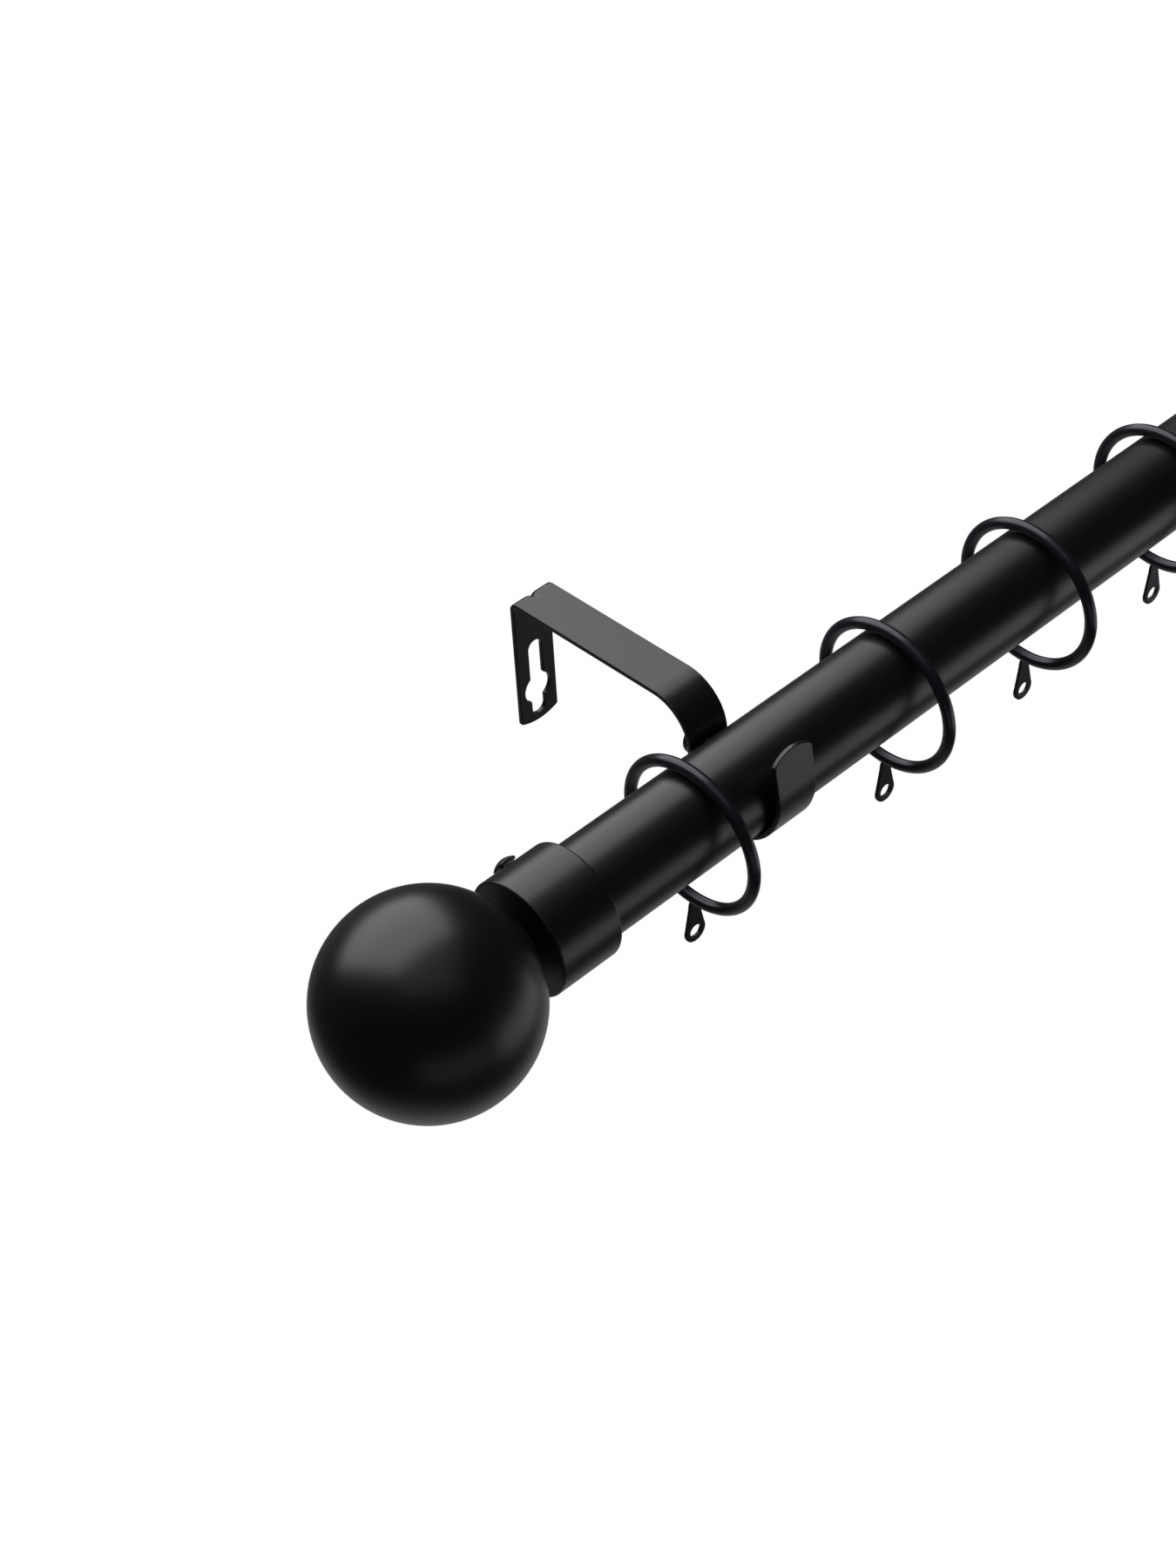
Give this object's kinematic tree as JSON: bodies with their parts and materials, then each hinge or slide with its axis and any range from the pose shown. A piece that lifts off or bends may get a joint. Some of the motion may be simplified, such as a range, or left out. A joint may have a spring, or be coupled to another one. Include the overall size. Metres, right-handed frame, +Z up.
{
  "type": "curtain rod with brackets",
  "caption": "Black extendable curtain rod resting in strap wall brackets, with ball finials and sliding rings that carry eyelets.",
  "frame": {"origin": "on the wall side of the left bracket's plate, in the middle of its width and 9 mm below its top, on solid metal above the keyhole", "axes": "+X along the rod towards the extending end, +Y into the wall, +Z up"},
  "size_m": [0.8236, 0.114, 0.0753],
  "materials": {
    "tube_black": "satin black powder coat on steel tube",
    "bracket_black": "satin black powder coat on steel strap",
    "finial_black": "satin black paint on steel",
    "ring_black": "satin black coat on steel wire",
    "screw_black": "blackened steel",
    "stud_zinc": "zinc plated steel",
    "cover_plastic": "matte black plastic"
  },
  "bodies": {
    "brackets": {"bracket_strap_left": "bracket_black", "bracket_strap_right": "bracket_black"},
    "pole": {"outer_tube": "tube_black", "joint_cover": "cover_plastic"},
    "inner_pole": {"inner_tube": "tube_black"},
    "finial_left": {"finial_ball_left": "finial_black", "finial_cap_left": "finial_black", "finial_stud_left": "stud_zinc"},
    "set_screw_left": {"set_screw_stem_left": "screw_black"},
    "set_head_left": {"set_screw_head_left": "screw_black"},
    "finial_right": {"finial_ball_right": "finial_black", "finial_cap_right": "finial_black", "finial_stud_right": "stud_zinc"},
    "set_screw_right": {"set_screw_stem_right": "screw_black"},
    "set_head_right": {"set_screw_head_right": "screw_black"},
    "clamp_screw_left": {"clamp_screw_stem_left": "screw_black"},
    "clamp_head_left": {"clamp_screw_head_left": "screw_black"},
    "clamp_screw_right": {"clamp_screw_stem_right": "screw_black"},
    "clamp_head_right": {"clamp_screw_head_right": "screw_black"},
    "ring_01": {"ring_01": "ring_black", "ring_eyelet_01": "ring_black"},
    "ring_02": {"ring_02": "ring_black", "ring_eyelet_02": "ring_black"},
    "ring_03": {"ring_03": "ring_black", "ring_eyelet_03": "ring_black"},
    "ring_04": {"ring_04": "ring_black", "ring_eyelet_04": "ring_black"},
    "ring_05": {"ring_05": "ring_black", "ring_eyelet_05": "ring_black"},
    "ring_06": {"ring_06": "ring_black", "ring_eyelet_06": "ring_black"},
    "ring_07": {"ring_07": "ring_black", "ring_eyelet_07": "ring_black"},
    "ring_08": {"ring_08": "ring_black", "ring_eyelet_08": "ring_black"},
    "ring_09": {"ring_09": "ring_black", "ring_eyelet_09": "ring_black"},
    "ring_10": {"ring_10": "ring_black", "ring_eyelet_10": "ring_black"}
  },
  "joints": [
    {"name": "pole_lift", "type": "slide", "parent": "brackets", "child": "pole", "axis": [0, 0, 1], "range_m": [0, 0.05]},
    {"name": "pole_extend", "type": "slide", "parent": "pole", "child": "inner_pole", "axis": [1, 0, 0], "range_m": [0, 0.5]},
    {"name": "finial_pull_left", "type": "slide", "parent": "pole", "child": "finial_left", "axis": [-1, 0, 0], "range_m": [0, 0.03]},
    {"name": "set_screw_travel_left", "type": "slide", "parent": "finial_left", "child": "set_screw_left", "axis": [0, 0.8829, 0.4695], "range_m": [0, 0.002]},
    {"name": "set_screw_turn_left", "type": "hinge", "parent": "set_screw_left", "child": "set_head_left", "pos_m": [-0.0735, -0.084, -0.009], "axis": [0, 0.8829, 0.4695], "range_deg": [0, 1028.57]},
    {"name": "finial_pull_right", "type": "slide", "parent": "inner_pole", "child": "finial_right", "axis": [1, 0, 0], "range_m": [0, 0.03]},
    {"name": "set_screw_travel_right", "type": "slide", "parent": "finial_right", "child": "set_screw_right", "axis": [0, 0.8829, 0.4695], "range_m": [0, 0.002]},
    {"name": "set_screw_turn_right", "type": "hinge", "parent": "set_screw_right", "child": "set_head_right", "pos_m": [0.6075, -0.084, -0.009], "axis": [0, 0.8829, 0.4695], "range_deg": [0, 1028.57]},
    {"name": "clamp_screw_travel_left", "type": "slide", "parent": "brackets", "child": "clamp_screw_left", "axis": [0, 1, 0], "range_m": [0, 0.003]},
    {"name": "clamp_screw_turn_left", "type": "hinge", "parent": "clamp_screw_left", "child": "clamp_head_left", "pos_m": [0, -0.084, -0.006], "axis": [0, 1, 0], "range_deg": [0, 1542.86]},
    {"name": "clamp_screw_travel_right", "type": "slide", "parent": "brackets", "child": "clamp_screw_right", "axis": [0, 1, 0], "range_m": [0, 0.003]},
    {"name": "clamp_screw_turn_right", "type": "hinge", "parent": "clamp_screw_right", "child": "clamp_head_right", "pos_m": [0.534, -0.084, -0.006], "axis": [0, 1, 0], "range_deg": [0, 1542.86]},
    {"name": "ring_slide_01", "type": "slide", "parent": "pole", "child": "ring_01", "axis": [1, 0, 0], "range_m": [-0.039, 0.012]},
    {"name": "ring_slide_02", "type": "slide", "parent": "pole", "child": "ring_02", "axis": [1, 0, 0], "range_m": [-0.045, 0.05]},
    {"name": "ring_slide_03", "type": "slide", "parent": "pole", "child": "ring_03", "axis": [1, 0, 0], "range_m": [-0.05, 0.05]},
    {"name": "ring_slide_04", "type": "slide", "parent": "pole", "child": "ring_04", "axis": [1, 0, 0], "range_m": [-0.05, 0.05]},
    {"name": "ring_slide_05", "type": "slide", "parent": "pole", "child": "ring_05", "axis": [1, 0, 0], "range_m": [-0.05, 0.05]},
    {"name": "ring_slide_06", "type": "slide", "parent": "pole", "child": "ring_06", "axis": [1, 0, 0], "range_m": [-0.05, 0.05]},
    {"name": "ring_slide_07", "type": "slide", "parent": "pole", "child": "ring_07", "axis": [1, 0, 0], "range_m": [-0.05, 0.05]},
    {"name": "ring_slide_08", "type": "slide", "parent": "pole", "child": "ring_08", "axis": [1, 0, 0], "range_m": [-0.05, 0.05]},
    {"name": "ring_slide_09", "type": "slide", "parent": "pole", "child": "ring_09", "axis": [1, 0, 0], "range_m": [-0.05, 0.045]},
    {"name": "ring_slide_10", "type": "slide", "parent": "pole", "child": "ring_10", "axis": [1, 0, 0], "range_m": [-0.012, 0.0115]}
  ],
  "couplings": [
    {"joint": "set_screw_turn_left", "follows": "set_screw_travel_left", "rad_per_m": 8976},
    {"joint": "set_screw_turn_right", "follows": "set_screw_travel_right", "rad_per_m": 8976},
    {"joint": "clamp_screw_turn_left", "follows": "clamp_screw_travel_left", "rad_per_m": 8976},
    {"joint": "clamp_screw_turn_right", "follows": "clamp_screw_travel_right", "rad_per_m": 8976}
  ]
}
